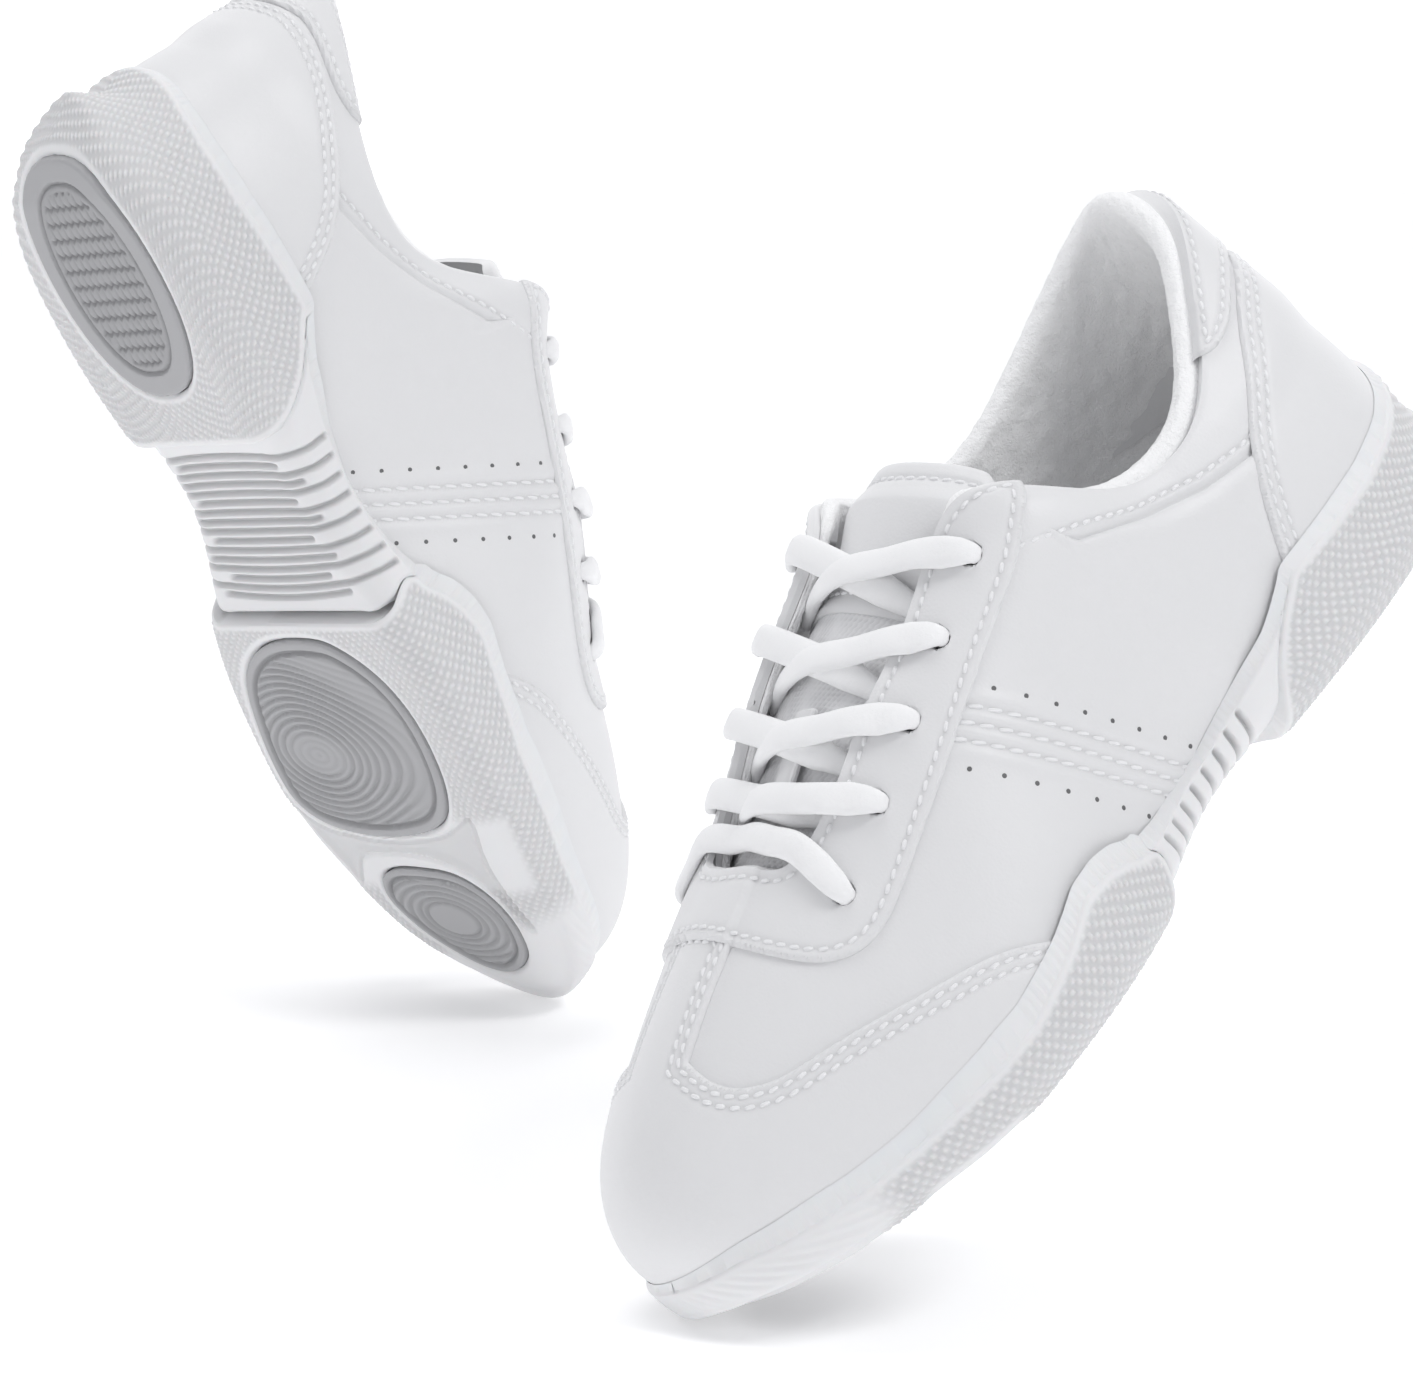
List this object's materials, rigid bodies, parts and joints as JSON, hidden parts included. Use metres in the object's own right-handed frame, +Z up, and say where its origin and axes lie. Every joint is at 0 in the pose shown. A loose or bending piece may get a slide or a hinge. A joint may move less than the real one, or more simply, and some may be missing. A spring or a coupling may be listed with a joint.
{
  "type": "cheer shoes",
  "caption": "Pair of low white lace-up cheerleading shoes with a light grooved rubber sole, tipped onto their toes with the heels raised.",
  "frame": {"origin": "centre of the floor rectangle that the pair covers, on the floor that both toe tips touch", "axes": "+Z up, +Y away from the viewer in the front view, +X to the viewer's right; the left shoe is at +X and the right shoe at -X, each tipped onto its toe"},
  "size_m": [0.3336, 0.371, 0.2658],
  "materials": {
    "sole_rubber": "light matt moulded rubber with fine dimples",
    "tread_rubber": "light grey matt rubber with curved grooves",
    "upper_leather": "white fine-grain synthetic leather, semi-matt",
    "overlay_leather": "white stitched synthetic leather overlay, semi-matt",
    "padded_leather": "white soft synthetic leather over foam",
    "fleece": "white brushed fleece",
    "tongue_knit": "white open knit spacer mesh",
    "lace": "white flat braided lace",
    "insole_cloth": "white woven cloth over foam",
    "stiffener": "plain hidden stiffener sheet"
  },
  "bodies": {
    "shoes": {"left_sole_heel": "sole_rubber", "left_sole_arch": "sole_rubber", "left_sole_forefoot": "sole_rubber", "left_heel_tread": "tread_rubber", "left_forefoot_tread": "tread_rubber", "left_insole": "insole_cloth", "left_quarter_lateral": "upper_leather", "left_quarter_medial": "upper_leather", "left_vamp_crease": "upper_leather", "left_collar": "padded_leather", "left_eyestay": "overlay_leather", "left_heel_foxing": "overlay_leather", "left_heel_tab": "overlay_leather", "left_heel_counter": "stiffener", "left_lining": "fleece", "left_lace_1": "lace", "left_lace_2": "lace", "left_lace_3": "lace", "left_lace_4": "lace", "left_lace_5": "lace", "right_sole_heel": "sole_rubber", "right_sole_arch": "sole_rubber", "right_sole_forefoot": "sole_rubber", "right_heel_tread": "tread_rubber", "right_forefoot_tread": "tread_rubber", "right_insole": "insole_cloth", "right_quarter_lateral": "upper_leather", "right_quarter_medial": "upper_leather", "right_vamp_crease": "upper_leather", "right_collar": "padded_leather", "right_eyestay": "overlay_leather", "right_heel_foxing": "overlay_leather", "right_heel_tab": "overlay_leather", "right_heel_counter": "stiffener", "right_lining": "fleece", "right_lace_1": "lace", "right_lace_2": "lace", "right_lace_3": "lace", "right_lace_4": "lace", "right_lace_5": "lace"},
    "left_toe": {"left_sole_toe": "sole_rubber", "left_toe_tread": "tread_rubber", "left_insole_toe": "insole_cloth", "left_toe_cap": "overlay_leather", "left_toe_puff": "stiffener"},
    "left_tongue": {"left_tongue_mesh": "tongue_knit", "left_tongue_top": "padded_leather", "left_tongue_loop": "overlay_leather"},
    "right_toe": {"right_sole_toe": "sole_rubber", "right_toe_tread": "tread_rubber", "right_insole_toe": "insole_cloth", "right_toe_cap": "overlay_leather", "right_toe_puff": "stiffener"},
    "right_tongue": {"right_tongue_mesh": "tongue_knit", "right_tongue_top": "padded_leather", "right_tongue_loop": "overlay_leather"}
  },
  "joints": [
    {"name": "left_toe_flex", "type": "hinge", "parent": "shoes", "child": "left_toe", "pos_m": [0.03822, -0.14183, 0.03937], "axis": [-0.552, 0.7134, -0.4316], "range_deg": [0, 25], "stiffness_Nm_per_rad": 1.5, "deforming": ["left_vamp_crease"]},
    {"name": "left_tongue_press", "type": "hinge", "parent": "shoes", "child": "left_tongue", "pos_m": [0.0122, -0.142, 0.0789], "axis": [-0.4177, 0.8674, -0.2705], "range_deg": [0, 18], "stiffness_Nm_per_rad": 0.3},
    {"name": "right_toe_flex", "type": "hinge", "parent": "shoes", "child": "right_toe", "pos_m": [-0.0615, 0.12896, 0.05074], "axis": [0.4651, -0.8096, 0.358], "range_deg": [0, 25], "stiffness_Nm_per_rad": 1.5, "deforming": ["right_vamp_crease"]},
    {"name": "right_tongue_press", "type": "hinge", "parent": "shoes", "child": "right_tongue", "pos_m": [-0.035, 0.154, 0.0809], "axis": [0.5961, -0.7917, 0.1339], "range_deg": [0, 18], "stiffness_Nm_per_rad": 0.3}
  ]
}
